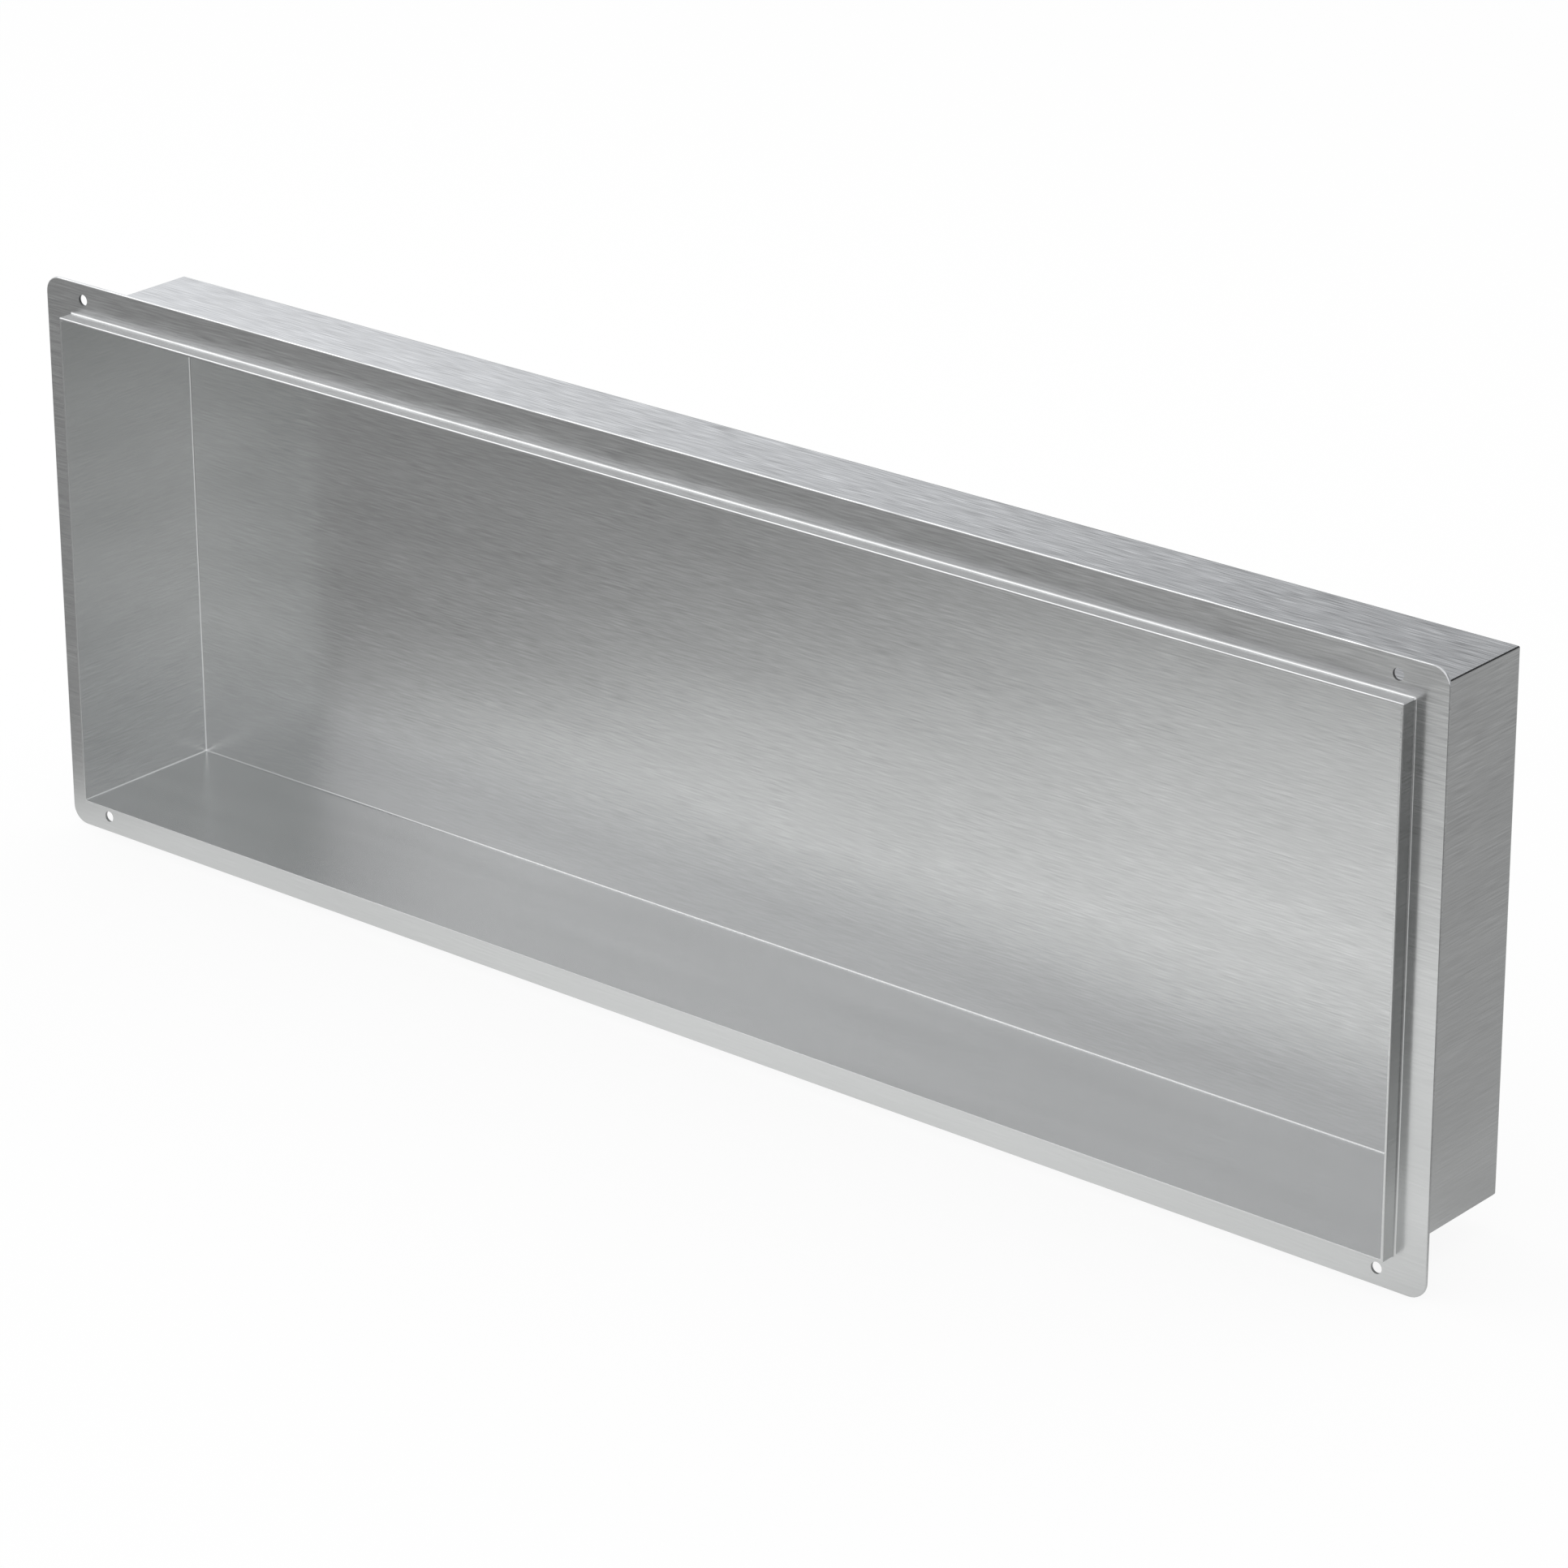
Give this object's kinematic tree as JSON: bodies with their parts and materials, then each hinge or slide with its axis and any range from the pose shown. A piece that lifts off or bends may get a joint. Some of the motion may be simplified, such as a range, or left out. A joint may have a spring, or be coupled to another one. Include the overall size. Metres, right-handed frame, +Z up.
{
  "type": "shower niche insert",
  "caption": "Long rectangular recessed niche of brushed stainless sheet: an open-fronted tub with a flat screw-on tile flange set back behind its lip, for shelf space in a shower wall.",
  "frame": {"origin": "centre of the screw pattern, on the flange's back face where it seats on the wall", "axes": "+X along the niche, +Y into the wall, +Z up"},
  "size_m": [0.938, 0.098, 0.328],
  "materials": {
    "brushed_steel": "satin brushed stainless steel, grain along the length of the back, floor, top and flange and along the depth of the two ends"
  },
  "bodies": {
    "root": {"niche_body": "brushed_steel"}
  },
  "joints": []
}
